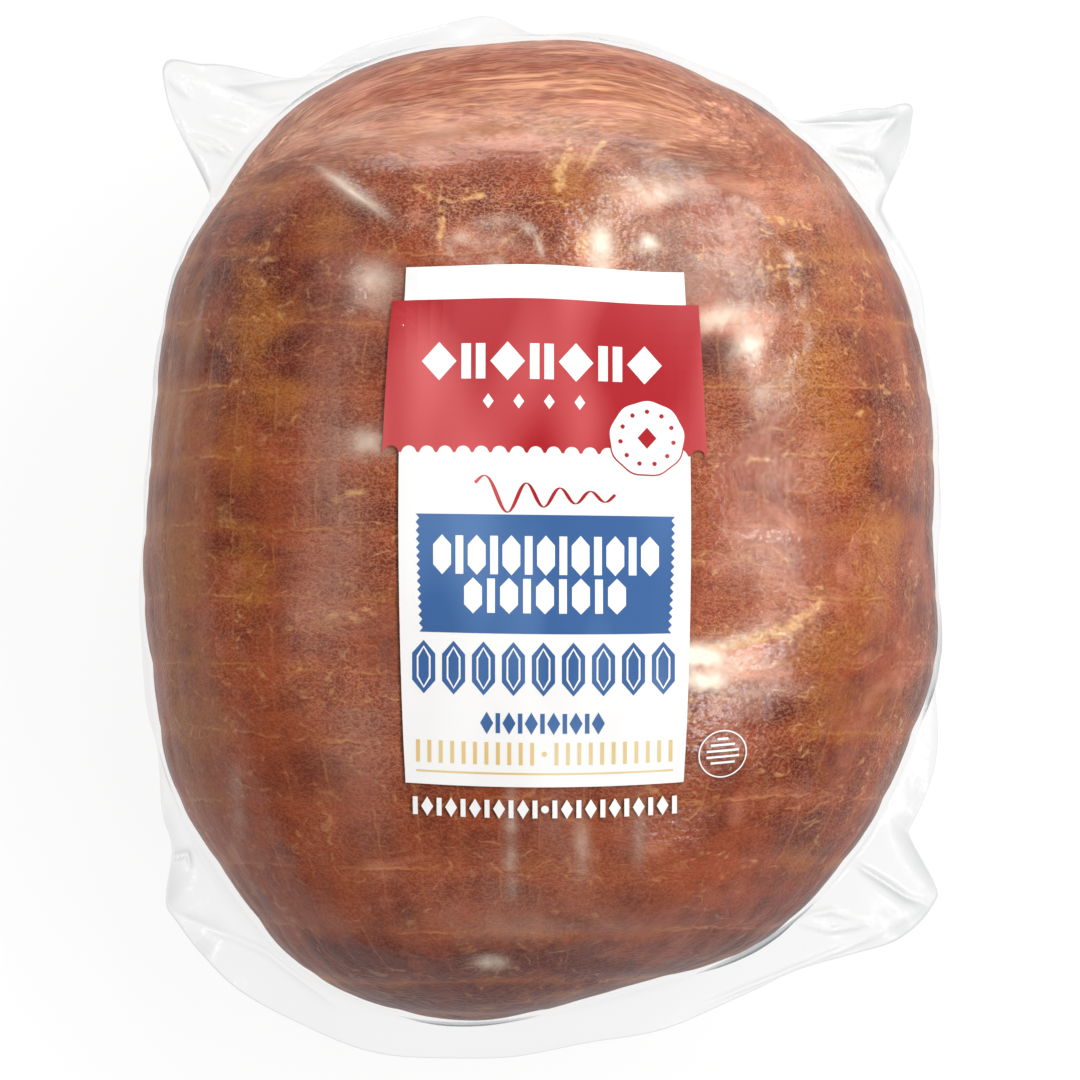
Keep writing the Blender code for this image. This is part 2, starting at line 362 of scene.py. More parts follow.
# The net wanders by about 2 mm, and the meat between its strings is finely uneven.
length = length + 0.0022 * noise_at(smooth_form, 0.034, 1)
girth = girth + 0.0018 * noise_at(smooth_form, 0.030, 4)
grain = 0.00022 * noise_at(smooth_form, 0.011, 2) + 0.00012 * noise_at(smooth_form, 0.005, 3)
lift = grain + NET_GROOVE * net_pillow(girth, length) - MEAT_SINK
finished = skin_points(angle, reach, rise, lift, lowest=0.0006)
for vertex, place in zip(bm.verts, finished):
    vertex.co = place
bmesh.ops.recalc_face_normals(bm, faces=bm.faces[:])

# Smoked cured pork: red-brown lean with darker hearts, amber where it smoked most, peach where it
# stayed pale, and bare fibres at the top end. The heart colour also paints shade on the left, the low
# end and the rims, the peach also paints glare, and a mauve tone paints the film's milky sheen.
LEAN = "#984525"
HEART_AND_SHADE = "#5c1c12"
AMBER = "#a05a20"
PEACH_AND_GLARE = "#dc9275"
MILKY_SHEEN = "#a47768"
GOLD = "#e0ab6e"
GRAIN = "#e9ae88"
GRAIN_DARK = "#571b0e"
STRING_MARK = "#cf8f58"
STREAK_PALE = "#f6b48c"
STREAK_DARK = "#8c3f1e"
# Soft oval zones, in mm: middle, half width, half height and strength.
ZONES = {
    # Pale meat, and painted glare at the glints around the label and on the right flank.
    "peach": (
        (60, -8, 22, 24, 0.50),
        (40, 78, 30, 8, 0.40),
        (52, 50, 14, 8, 0.50),
        (78, -8, 10, 40, 0.22),
        (-4, 96, 50, 10, 0.55),
        (44, -33, 13, 5, 1.30),
        (50, 44, 7, 6, 1.00),
        (14, 67, 6, 8, 1.20),
        (27, 81, 13, 5, 0.90),
        (-41, 60, 5, 5, 0.60),
        (56, -62, 24, 18, 0.12),
        (-52, 90, 18, 14, 0.35),
    ),
    # Dark hearts, with painted shade on the upper left, the low end and the right rim.
    "heart": (
        (-66, 60, 32, 34, 1.10),
        (-46, 78, 20, 16, 0.70),
        (-60, 20, 44, 90, 0.30),
        (-10, -84, 46, 16, 0.45),
        (-44, -16, 9, 9, 0.70),
        (-70, 10, 8, 14, 0.60),
        (-52, 28, 14, 8, 0.60),
        (62, 64, 18, 8, 0.75),
        (84, 20, 8, 26, 0.85),
        (66, 32, 5, 6, 0.70),
        (-60, -62, 16, 24, 0.25),
        (-14, 80, 28, 9, 0.85),
        (64, -62, 28, 22, 0.62),
        (62, -86, 24, 16, 0.80),
        (0, -116, 90, 22, 1.30),
        (-36, 76, 12, 12, 0.60),
        (40, -72, 10, 8, 0.50),
        (42, 42, 6, 5, 0.85),
        (32, 88, 24, 6, 0.75),
        (36, 66, 18, 8, 0.60),
        (62, 70, 12, 20, 0.45),
        (78, 52, 10, 18, 0.45),
        (95, 10, 8, 70, 0.50),
        (34, 106, 22, 10, 0.70),
    ),
    "amber": (
        (-71, 51, 8, 14, 1.0),
        (-62, 31, 12, 8, 0.6),
        (-73, 5, 8, 24, 0.7),
        (-82, -52, 6, 14, 0.7),
        (-90, 0, 8, 60, 1.0),
        (0, -113, 60, 12, 0.2),
        (-51, 76, 9, 7, 0.6),
        (-71, 83, 10, 7, 0.6),
        (68, 38, 11, 12, 1.0),
        (73, 26, 12, 7, 0.8),
        (72, 12, 8, 6, 0.8),
        (83, -10, 8, 24, 0.7),
        (68, -26, 18, 12, 0.6),
        (74, -44, 12, 12, 0.7),
        (48, -27, 14, 4, 0.8),
        (-40, -16, 9, 3, 0.7),
        (-48, -24, 12, 3, 0.7),
        (61, -83, 9, 9, 0.4),
        (6, 86, 6, 12, 1.0),
        (14, 76, 9, 12, 0.9),
        (70, 66, 14, 16, 0.7),
    ),
    # Mauve painted sheen: the film's milky reflection, in bands and columns.
    "bloom": (
        (-34, 97, 34, 7, 0.9),
        (-6, 99, 24, 7, 0.8),
        (28, 98, 30, 5, 0.6),
        (-50, 8, 8, 60, 0.75),
        (-44, -50, 10, 36, 0.6),
        (-8, -98, 34, 5, 0.35),
        (-38, 57, 7, 6, 0.9),
        (88, -78, 6, 14, 0.4),
        (60, -6, 12, 12, 0.5),
        (56, 24, 8, 14, 0.5),
        (4, -74, 6, 14, 0.5),
        (22, -76, 5, 12, 0.4),
        (0, -88, 34, 12, 0.30),
        (44, 64, 16, 8, 0.18),
    ),
}

# Gold strands in the meat, in mm: the points that each passes, its width and its strength.
STRANDS = (
    (((-24.8, 88), (-24.2, 75.5), (-25.1, 66)), 1.2, 1.0),
    (((8, 97), (5.5, 89), (3.5, 80)), 2.2, 1.0),
    (((17, 97), (12, 90), (9, 84)), 1.8, 0.9),
    (((-22, 80), (-13, 81.3)), 1.4, 0.9),
    (((9, 72), (12, 66)), 2.6, 1.0),
    (((46, 77), (60, 75.5), (74, 73)), 1.3, 0.8),
    (((36, 61), (48, 62), (62, 65), (74, 62)), 1.3, 0.8),
    (((34, -31), (48, -28), (60, -25), (68, -19), (70, -12)), 2.6, 1.0),
    (((40, 18), (54, 16), (66, 18)), 1.3, 0.7),
    (((42, -8), (56, -9), (70, -6)), 1.2, 0.6),
    (((-76, 66), (-68, 46), (-72, 34)), 1.6, 0.5),
    (((-56, 4), (-48, 8), (-40, 9)), 1.4, 0.8),
    (((-80, -10), (-74, -26), (-78, -40)), 1.4, 0.45),
    (((-60, -20), (-48, -22), (-40, -19)), 1.8, 0.8),
    (((74, 46), (80, 34), (77, 22)), 1.8, 0.5),
    (((30, -82), (44, -80), (58, -84)), 1.2, 0.6),
)

meat, tree = start_material("smoked_cured_pork")
masks = {
    name: add_node(tree, "ShaderNodeAttribute", {"attribute_name": name}, out=2)
    for name in (*ZONES, "dry", "fibre", "strand")
}
grain_at = add_node(tree, "ShaderNodeAttribute", {"attribute_name": "grain_at"}, out=1)
net_vector = add_node(tree, "ShaderNodeAttribute", {"attribute_name": "net"}, out=1)
marks = add_node(tree, "ShaderNodeSeparateXYZ", inputs={0: net_vector}).node.outputs

# Blotches about 13 mm across with detail down to 2 mm, and speckles about 2 mm across. Both are
# drawn out round the ham.
blotch = add_node(
    tree,
    "ShaderNodeTexNoise",
    inputs={"Vector": grain_at, "Scale": 78.0, "Detail": 2.5, "Roughness": 0.55, "Distortion": 0.3},
    out=1,
)
blotch = add_node(tree, "ShaderNodeSeparateColor", inputs={0: blotch}).node.outputs
speckle = add_node(
    tree,
    "ShaderNodeTexNoise",
    inputs={"Vector": grain_at, "Scale": 440.0, "Detail": 1.5, "Roughness": 0.6},
    out=1,
)
speckle = add_node(tree, "ShaderNodeSeparateColor", inputs={0: speckle}).node.outputs
# The net's strings fall at whole numbers of rows and columns: how far off each is, as a share.
wavy = add_node(tree, "ShaderNodeMath", {"operation": "MULTIPLY"}, {0: speckle[0], 1: 0.14})
wavy = add_node(tree, "ShaderNodeCombineXYZ", inputs={0: wavy, 1: wavy})
net_vector = add_node(tree, "ShaderNodeVectorMath", {"operation": "ADD"}, {0: net_vector, 1: wavy})
net_parts = add_node(tree, "ShaderNodeSeparateXYZ", inputs={0: net_vector}).node.outputs
strings = []
for axis in (0, 1):
    share = add_node(tree, "ShaderNodeMath", {"operation": "FRACT"}, {0: net_parts[axis]})
    strings.append(add_node(tree, "ShaderNodeMath", {"operation": "SUBTRACT"}, {0: share, 1: 0.5}))
# Each mesh of the net took the smoke a little differently.
cell = add_node(tree, "ShaderNodeVectorMath", {"operation": "FLOOR"}, {0: net_vector})
cell = add_node(tree, "ShaderNodeTexWhiteNoise", {"noise_dimensions": "3D"}, {"Vector": cell}, out=1)
cell = add_node(tree, "ShaderNodeSeparateColor", inputs={0: cell}).node.outputs
halo = add_node(tree, "ShaderNodeMath", {"operation": "ABSOLUTE"}, {0: strings[1]})
halo = add_node(
    tree,
    "ShaderNodeMapRange",
    inputs={"Value": halo, "From Min": 0.17, "From Max": 0.0, "To Max": 0.16},
)
# Each coat is how far its colour covers what is under it, and the colour. The last is uppermost.
coats = []
for name, hex_colour, part, push, low, high in (
    ("peach", PEACH_AND_GLARE, 1, 0.50, 0.66, 1.02),
    ("heart", HEART_AND_SHADE, 0, 0.40, 0.56, 1.02),
    ("amber", AMBER, 2, 0.46, 0.68, 1.00),
):
    share = add_node(
        tree,
        "ShaderNodeMath",
        {"operation": "MULTIPLY_ADD"},
        {0: masks[name], 1: push, 2: blotch[part]},
    )
    share = add_node(
        tree,
        "ShaderNodeMath",
        {"operation": "MULTIPLY_ADD"},
        {0: cell[part], 1: 0.10, 2: share},
    )
    if name == "amber":
        share = add_node(tree, "ShaderNodeMath", {"operation": "ADD"}, {0: share, 1: halo})
    share = add_node(tree, "ShaderNodeMapRange", inputs={"Value": share, "From Min": low, "From Max": high})
    coats.append((share, hex_colour))
# Thin golden veins follow the edges of the blotches, and break up into speckles.
vein = add_node(tree, "ShaderNodeMath", {"operation": "SUBTRACT"}, {0: blotch[1], 1: 0.5})
vein = add_node(tree, "ShaderNodeMath", {"operation": "ABSOLUTE"}, {0: vein})
vein = add_node(tree, "ShaderNodeMapRange", inputs={"Value": vein, "From Min": 0.018, "From Max": 0.004})
broken = add_node(
    tree,
    "ShaderNodeMapRange",
    inputs={"Value": speckle[1], "From Min": 0.46, "From Max": 0.66},
)
flecks = add_node(
    tree,
    "ShaderNodeMapRange",
    inputs={"Value": speckle[2], "From Min": 0.62, "From Max": 0.80, "To Max": 0.35},
)
vein = add_node(tree, "ShaderNodeMath", {"operation": "MULTIPLY_ADD"}, {0: vein, 1: broken, 2: flecks})
worn = add_node(tree, "ShaderNodeMapRange", inputs={"Value": masks["dry"], "To Min": 0.02, "To Max": 0.60})
vein = add_node(tree, "ShaderNodeMath", {"operation": "MULTIPLY", "use_clamp": True}, {0: vein, 1: worn})
# The longer strands are broken up by speckles too.
strand = add_node(
    tree,
    "ShaderNodeMath",
    {"operation": "MULTIPLY_ADD"},
    {0: speckle[1], 1: 1.1, 2: masks["strand"]},
)
strand = add_node(
    tree,
    "ShaderNodeMapRange",
    inputs={"Value": strand, "From Min": 0.92, "From Max": 1.25, "To Max": 0.85},
)
pits = add_node(
    tree,
    "ShaderNodeMapRange",
    inputs={"Value": speckle[0], "From Min": 0.42, "From Max": 0.30, "To Max": 0.30},
)
# The painted milky sheen of the film is soft, and differs from mesh to mesh.
sheen_veil = add_node(tree, "ShaderNodeMapRange", inputs={"Value": cell[1], "To Min": 0.35, "To Max": 0.95})
sheen_veil = add_node(tree, "ShaderNodeMath", {"operation": "MULTIPLY"}, {0: sheen_veil, 1: masks["bloom"]})
coats += [(vein, GOLD), (strand, GOLD), (pits, HEART_AND_SHADE), (sheen_veil, MILKY_SHEEN)]
# The bare fibres at the top end are pale and dark streaks that run round it.
for hex_colour, part, low, high in ((STREAK_DARK, 0, 0.54, 0.38), (STREAK_PALE, 2, 0.50, 0.68)):
    streak = add_node(
        tree,
        "ShaderNodeMapRange",
        inputs={"Value": speckle[part], "From Min": low, "From Max": high, "To Max": 0.9},
    )
    patch = add_node(
        tree,
        "ShaderNodeMapRange",
        inputs={"Value": blotch[part], "From Min": 0.38, "From Max": 0.62, "To Min": 0.15},
    )
    streak = add_node(tree, "ShaderNodeMath", {"operation": "MULTIPLY"}, {0: streak, 1: patch})
    streak = add_node(tree, "ShaderNodeMath", {"operation": "MULTIPLY"}, {0: streak, 1: masks["fibre"]})
    coats.append((streak, hex_colour))
# Leathery grain: pale wavy lines about 1 mm apart, dark between them.
grain = add_node(
    tree,
    "ShaderNodeTexNoise",
    inputs={"Vector": grain_at, "Scale": 1080.0, "Detail": 1.0, "Roughness": 0.6},
)
worm = add_node(tree, "ShaderNodeMath", {"operation": "SUBTRACT"}, {0: grain, 1: 0.5})
worm = add_node(tree, "ShaderNodeMath", {"operation": "ABSOLUTE"}, {0: worm})
pale = add_node(
    tree,
    "ShaderNodeMapRange",
    inputs={"Value": worm, "From Min": 0.08, "From Max": 0.0, "To Max": 0.26},
)
dark = add_node(
    tree,
    "ShaderNodeMapRange",
    inputs={"Value": grain, "From Min": 0.50, "From Max": 0.30, "To Max": 0.30},
)
for share, hex_colour in ((dark, GRAIN_DARK), (pale, GRAIN)):
    share = add_node(tree, "ShaderNodeMath", {"operation": "MULTIPLY"}, {0: share, 1: masks["dry"]})
    coats.append((share, hex_colour))
# Each string left a thin pale line, broken where it pressed less, with a dark line of painted shade beside
# it.
for axis, strength, width in ((1, 0.60, 0.026), (0, 0.34, 0.040)):
    broken = add_node(
        tree,
        "ShaderNodeMapRange",
        inputs={"Value": blotch[axis], "From Min": 0.47, "From Max": 0.64, "To Max": strength},
    )
    broken = add_node(tree, "ShaderNodeMath", {"operation": "MULTIPLY"}, {0: broken, 1: marks[2]})
    for shift, hex_colour, share_of in ((1.7, GRAIN_DARK, 0.50), (0.0, STRING_MARK, 0.75)):
        away = add_node(tree, "ShaderNodeMath", {"operation": "ADD"}, {0: strings[axis], 1: shift * width})
        away = add_node(tree, "ShaderNodeMath", {"operation": "ABSOLUTE"}, {0: away})
        line = add_node(
            tree,
            "ShaderNodeMapRange",
            inputs={"Value": away, "From Min": width, "From Max": 0.2 * width, "To Max": share_of},
        )
        line = add_node(tree, "ShaderNodeMath", {"operation": "MULTIPLY"}, {0: line, 1: broken})
        coats.append((line, hex_colour))
colour = linear(LEAN)
for share, hex_colour in coats:
    colour = add_node(
        tree,
        "ShaderNodeMix",
        {"data_type": "RGBA"},
        {0: share, 6: colour, 7: linear(hex_colour)},
        out=2,
    )
bump = add_node(tree, "ShaderNodeBump", inputs={"Height": grain, "Strength": 0.4, "Distance": 0.0006})
shader = add_node(
    tree,
    "ShaderNodeBsdfPrincipled",
    inputs={
        "Base Color": colour,
        "Roughness": 0.36,
        "Specular IOR Level": 0.13,
        "Normal": bump,
    },
)
add_node(tree, "ShaderNodeOutputMaterial", inputs={"Surface": shader})


def add_layer(piece, name, values):
    """Gives each vertex of a piece a number, or a vector, for its material to read."""
    kind, key = ("FLOAT", "value") if values.ndim == 1 else ("FLOAT_VECTOR", "vector")
    layer = piece.data.attributes.new(name, kind, "POINT")
    layer.data.foreach_set(key, values.astype(np.float32).ravel())


ham = add_piece("ham", bm, meat)
x, y, z = smooth_form.T
top = smooth_step((z - WIDEST_LEVEL + 0.012) / 0.02)
layers = {name: soft_spots(x, y, spots) * top for name, spots in ZONES.items()}
# Toward the widest level and below it the meat gets more amber, and the heart colour paints shade there,
# most on the right.
side = 1 - smooth_step((z - 0.056) / 0.036)
layers["amber"] += side * 0.30 * (1 + 1.6 * noise_at(smooth_form, 0.028, 6))
painted_shade = 0.95 + 0.50 * np.sign(x) * smooth_step(np.abs(x) / 0.05) + 0.8 * noise_at(smooth_form, 0.034, 7)
layers["heart"] += side * painted_shade + 0.35 * (net_pillow(girth, length) - 0.6)
fibre = smooth_step((y - 0.090 + 3.5 * (x + 0.008) ** 2) / 0.020) * (1 - smooth_step((x - 0.035) / 0.04))
fibre *= 1 - 0.6 * side
layers["peach"] += 0.40 * fibre
layers["heart"] *= 1 - 0.50 * fibre
layers["amber"] += 0.30 * fibre
layers["bloom"] *= 1 - 0.60 * fibre
layers["fibre"] = fibre
dry = smooth_step((noise_at(smooth_form, 0.026, 5) + 0.50) / 0.6)
# Dry places show the grain and the veins. The first ovals are dry throughout and the second ones
# moist, given like the zones.
VEINED = (
    (-12, 78, 40, 15, 1.5),
    (66, 40, 16, 28, 1.4),
    (60, -26, 20, 16, 1.2),
    (-72, 50, 16, 40, 0.9),
    (-76, -20, 14, 50, 0.7),
    (-4, -86, 60, 16, 0.6),
)
MOIST = (
    (-80, 10, 22, 80, 0.8),
    (-60, 56, 34, 30, 0.6),
    (-66, -60, 16, 30, 0.7),
    (0, -100, 90, 34, 1.0),
    (60, -6, 14, 12, 0.6),
)
dry *= 1 - soft_spots(x, y, MOIST) * top
dry = np.maximum(dry, soft_spots(x, y, VEINED) * top)
layers["dry"] = np.maximum(np.maximum(dry, 0.38), 1.2 * fibre)
# What is drawn with the grain is wider than long, and at the top end it becomes long streaks
# that follow the outline.
across = x * (0.70 - 0.60 * fibre)
along = y + 4.5 * x * x * fibre
grain_places = np.stack([across, along, z], axis=1)
layers["strand"] = np.zeros_like(x)
for points, width, strength in STRANDS:
    strand = strength * line_share(x, y, points, width) * top
    layers["strand"] = np.maximum(layers["strand"], strand)
# The third value of the net's places is how clearly its strings mark the meat, less at the ends.
marked = 0.95 - 0.80 * smooth_step((np.abs(y + 0.016) - 0.082) / 0.024)
net_shares = np.stack([girth / NET_COLUMN + NET_OFFSET, length / NET_ROW + NET_OFFSET, marked], axis=1)
for name, values in {**layers, "net": net_shares, "grain_at": grain_places}.items():
    add_layer(ham, name, values)
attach(ham, "root")
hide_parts("bagged_ham")

# The bag: clear laminated film, drawn onto the ham by vacuum and sealed flat outside it. Two
# sheets leave the ham at its widest level and meet at the trimmed edge, crumpled at the corners.
FILM_LIFT = 0.0005
FILM_PILLOW = 0.00022
FILM_STEPS = 640
TOP_ROWS = 74
MARGIN_ROWS = 24
UNDER_ROWS = 26
SHEET_GAP = 0.00035
FILLET_WIDTH = 0.0011
SIDE_MARGIN = 0.0014
EDGE_RIPPLE = 0.0004
CORNER_CROWDING = 0.6
SWING_HEIGHT = 0.011
EAR_SPREAD = 10
# Where the margin is wider, in degrees round from +X: the start, where it is full, where it begins
# to fall, the end, and the extra width. Then the curl of each ear: its angle, spread and lift.
WIDER_FILM = {
    "bottom seal": (219.0, 225.5, 308.0, 320.0, 0.0105),
    "lower right side": (308.0, 320.0, 321.0, 347.0, 0.0086),
    "top seal": (58.0, 63.0, 84.0, 92.0, 0.0016),
    "top left seal": (90.0, 97.0, 116.0, 133.0, 0.0052),
    "upper right side": (18.0, 35.0, 44.0, 56.0, 0.0030),
    "lower left side": (208.0, 219.0, 219.0, 225.0, 0.0050),
    "top left ear": (117.0, 128.8, 130.6, 135.4, 0.0240),
    "top right ear": (42.8, 47.6, 49.4, 60.0, 0.0186),
    "top left tip": (126.0, 129.0, 129.2, 131.4, 0.0050),
    "top right tip": (47.0, 48.7, 48.9, 51.0, 0.0040),
    "lower left ear": (221.0, 226.0, 227.0, 254.0, 0.0050),
    "lower right ear": (297.0, 315.2, 317.0, 320.8, 0.0150),
}
EAR_CURLS = (
    (129.0, 9.0, 0.0035),
    (48.8, 8.0, -0.0025),
    (226.0, 9.0, 0.0030),
    (314.0, 9.0, -0.0030),
)
# Creases of the margin, in mm: the points that each passes, its width and its height.
MARGIN_CREASES = (
    (((-86, 99), (-78, 94.5), (-78.5, 91)), 1.3, 1.6),
    (((-85, 104), (-79, 102), (-73, 100)), 1.0, 1.2),
    (((-95, 114), (-77, 113), (-64, 114.5), (-35, 119.5)), 1.2, 1.0),
    (((-94, 114), (-89.5, 110)), 0.8, 1.4),
    (((-94, 117), (-70, 108), (-60, 110)), 1.6, -1.0),
    (((-90, 100), (-84, 96)), 1.0, 1.2),
    (((66, 103), (84, 103.5), (92, 105)), 1.3, 1.6),
    (((91, 105), (86.5, 100)), 0.8, 1.6),
    (((72, 96), (84, 94), (89, 87.5)), 1.6, 2.0),
    (((80, 92), (88, 90)), 0.8, -1.2),
    (((-88, -79), (-85, -87), (-81, -89)), 1.4, 1.4),
    (((-95, -84), (-90, -83), (-89.5, -86)), 0.9, 1.5),
    (((-96, -97), (-70, -108), (-52, -122)), 1.4, 0.8),
    (((79, -85), (88.5, -91), (93, -94), (98.5, -96)), 1.3, 2.0),
    (((65, -99.5), (74, -97.5), (83, -100.5)), 1.0, 1.2),
    (((65, -100), (74, -102.5), (83, -101)), 1.0, 1.2),
    (((98, -97), (80, -106), (40, -122)), 1.0, 0.9),
    (((-50, -118), (-42, -122)), 1.2, 1.0),
)
# Creases of the film where it lies on the ham, given the same way.
HAM_CREASES = (
    (((-54, 87), (-45, 80), (-35.5, 74.5)), 2.4, 0.9),
    (((-25, 70), (-17, 73), (-7.5, 74.5), (-2.5, 71.5), (-1.5, 66)), 1.8, 0.6),
    (((40, 84), (52, 80.5), (62.5, 69), (64.5, 46), (62.6, 34), (56, 23)), 1.8, 0.7),
    (((-46, 63), (-44.5, 58), (-50, 53)), 1.6, 0.6),
    (((-73, 83), (-76, 68), (-81.5, 50), (-87, 27), (-89.5, 7)), 1.8, 0.5),
    (((-90, -3), (-90, -28), (-86.5, -59), (-78, -79)), 1.8, 0.5),
)


def margin(angle):
    """How far the film stands out past the ham at each angle."""
    degrees = np.degrees(angle) % 360
    wide = SIDE_MARGIN + EDGE_RIPPLE * (np.sin(9 * angle) + np.sin(23 * angle + 1.0))
    for start, full, falls, end, extra in WIDER_FILM.values():
        rising = smooth_step((degrees - start) / (full - start))
        falling = 1 - smooth_step((degrees - falls) / max(end - falls, 0.001))
        wide = wide + extra * rising * falling
    return wide


def margin_level(angle, out):
    """Height of the margin: level at the ham, and wavy and curled toward its edge."""
    level = WIDEST_LEVEL + out * (0.0012 * np.sin(5 * angle + 1.0) + 0.0008 * np.sin(13 * angle))
    for degrees, ear_spread, ear_lift in EAR_CURLS:
        away = (np.degrees(angle) % 360 - degrees) / ear_spread
        level += ear_lift * out * out * np.exp(-away * away)
        level += 0.0012 * out * np.exp(-away * away) * np.sin(math.radians(degrees) + 9 * away)
    return level


def crease_height(x, y, creases):
    """Sum of the creases' heights here, in metres."""
    return sum(1.5 * height / 1000 * line_share(x, y, points, width) for points, width, height in creases)


rows = TOP_ROWS + 2 * MARGIN_ROWS + UNDER_ROWS
bm = bmesh.new()
bmesh.ops.create_grid(bm, x_segments=FILM_STEPS, y_segments=rows, size=1.0)
flat = np.array([vertex.co[:] for vertex in bm.verts])
turn = math.pi * (flat[:, 0] + 1)
angle = turn - CORNER_CROWDING / 4 * np.sin(4 * (turn - math.pi / 4))
row = np.round((flat[:, 1] + 1) / 2 * rows)
on_top = row <= TOP_ROWS
on_bottom = row >= TOP_ROWS + 2 * MARGIN_ROWS
# On the ham, rows run from the middle of the top to the edge, and under it back to the middle.
tilt = np.where(on_top, row / TOP_ROWS, (rows - row) / UNDER_ROWS)
tilt = math.pi / 2 * np.clip(tilt, 0.0, 1.0) ** 0.85
reach, rise = rounded_shares(np.sin(tilt), np.maximum(np.cos(tilt), 0.0) * np.where(on_bottom, -1.0, 1.0))
base = skin_points(angle, reach, rise, FILM_LIFT, lowest=0.0001)
free = 1 - 0.9 * under_label(base[:, 0], base[:, 1]) * on_top
film_girth, film_length = net_place(base)
loose = 0.00016 * noise_at(base, 0.018, 11) + 0.00008 * noise_at(base, 0.008, 12)
tight = free * (loose + FILM_PILLOW * net_pillow(film_girth, film_length))
tight += crease_height(base[:, 0], base[:, 1], HAM_CREASES) * on_top * free
clinging = skin_points(angle, reach, rise, FILM_LIFT + tight, lowest=0.0001)
# Near the widest level the film swings out into the margin.
width = margin(angle)
fillet = np.minimum(FILLET_WIDTH, 0.55 * width)
swing = np.clip(1 - np.abs(clinging[:, 2] - WIDEST_LEVEL) / SWING_HEIGHT, 0.0, 1.0) ** 2
clinging[:, 0] += np.cos(angle) * fillet * swing
clinging[:, 1] += np.sin(angle) * fillet * swing
# In the margin, the rows run out along the upper sheet and back along the lower one.
out = 1 - np.abs(row - TOP_ROWS - MARGIN_ROWS) / MARGIN_ROWS
out = np.clip(out, 0.0, 1.0)
upper_sheet = row <= TOP_ROWS + MARGIN_ROWS
start = plan_radius(angle) + fillet + FILM_LIFT
reached = start + out * np.maximum(plan_radius(angle) + width - start, 0.0002)
margin_x, margin_y = np.cos(angle) * reached, np.sin(angle) * reached
ear = np.zeros_like(angle)
for curl in EAR_CURLS:
    away = (np.degrees(angle) % 360 - curl[0]) / EAR_SPREAD
    ear = np.maximum(ear, np.exp(-away * away))
ripple = noise_at(np.stack([margin_x, margin_y, np.zeros_like(angle)], axis=1), 0.007, 13)
puff = SHEET_GAP * (1 - out**4) * (1 + 1.5 * ear)
level = margin_level(angle, out) + crease_height(margin_x, margin_y, MARGIN_CREASES) * smooth_step(out * 6)
level += 0.0004 * ear * out * ripple
level += np.where(upper_sheet, puff, -puff)
in_margin = ~(on_top | on_bottom)
finished = np.where(in_margin[:, None], np.stack([margin_x, margin_y, level], axis=1), clinging)
for vertex, place in zip(bm.verts, finished):
    vertex.co = place
bmesh.ops.remove_doubles(bm, verts=bm.verts[:], dist=0.000002)
bmesh.ops.recalc_face_normals(bm, faces=bm.faces[:])

# Polyamide and polyethylene laminate: water clear, glossy, faintly grey at its folds, with
# soft dents about 2 mm across where it follows the meat.
FILM_CLEAR = "#fcfcfc"
FILM_FOLD = "#d2d5d6"
FILM_GLARE = "#fff0dc"
# Ovals of painted glare on the film, in mm: middle, half width, half height and strength. Then lines
# of painted glare: the points that each passes, its width and its strength.
GLARE_SPOTS = (
    (-41, 60, 5.0, 5.0, 0.36),
    (-40.5, 61, 1.8, 2.0, 0.40),
    (-42, 20.5, 6.0, 3.2, 0.40),
    (-13, 70, 9, 4, 0.14),
    (14.5, 67.5, 2.8, 6.5, 0.90),
    (27, 82.5, 8.0, 3.2, 0.62),
    (26, 69.5, 3.0, 1.8, 0.85),
    (40, 66, 20, 15, 0.16),
    (22, 76, 8.0, 4.0, 0.24),
    (40, 84, 17, 6, 0.16),
    (28, 90, 22, 5, 0.12),
    (46, 51, 13, 4.0, 0.50),
    (58, 38, 6.0, 14, 0.13),
    (50, 45, 4.0, 2.8, 0.95),
    (52, 39.5, 2.4, 5.0, 0.60),
    (54, 34, 3.0, 5.0, 0.30),
    (42, -33.5, 11, 4.4, 0.40),
    (37, -31.5, 8.0, 2.6, 1.30),
    (39, -37.0, 6.0, 2.4, 1.15),
    (53, -39, 12, 3.5, 0.16),
    (-12.6, -107.5, 3.6, 1.6, 0.50),
    (-40, 98, 26, 6, 0.12),
    (0, 100, 30, 6, 0.10),
    (54, -8, 8, 7, 0.10),
    (58, 14, 8, 6, 0.10),
    (-7.3, -77, 1.5, 13, 0.26),
    (10, -78, 1.8, 8, 0.20),
    (24, -74, 1.4, 9, 0.14),
    (-75, -68, 2.0, 10, 0.16),
    (-5, -97, 26, 6, 0.07),
    (72, 84, 10, 8, 0.10),
    (-58, -20, 5, 16, 0.06),
)
GLARE_LINES = (
    (((-55, 89), (-46, 82), (-36, 75)), 1.5, 0.55),
    (((-24, 68.5), (-14, 73.5), (-6, 75), (-1.5, 72), (0.5, 66)), 0.8, 0.90),
    (((-24, 68.5), (-19, 65.5), (-9, 64.5)), 0.8, 0.50),
    (((14, 77), (27, 84), (38, 84.5), (53, 78), (63, 63), (65.5, 46), (63.5, 33.5), (56.5, 22)), 1.1, 0.30),
    (((28, 88), (44, 80), (56, 68), (59, 56)), 1.6, 0.20),
    (((46, 45), (47, 38), (52, 34)), 1.2, 0.40),
    (((35, -30), (47, -28.5), (58, -21)), 1.4, 0.50),
    (((-86, 62), (-90, 44), (-94, 20), (-95, -10), (-92, -40)), 1.2, 0.12),
    (((-80, 74), (-84, 56), (-89, 34), (-91, 8)), 1.0, 0.14),
    (((86, 60), (92, 30), (93, -10), (92, -40)), 1.0, 0.07),
)
film_sheet, tree = start_material("clear_laminate_film")
place = add_node(tree, "ShaderNodeTexCoord", out=3)
dents = add_node(tree, "ShaderNodeTexNoise", inputs={"Vector": place, "Scale": 560.0, "Detail": 1.0})
bump = add_node(tree, "ShaderNodeBump", inputs={"Height": dents, "Strength": 0.30, "Distance": 0.0005})
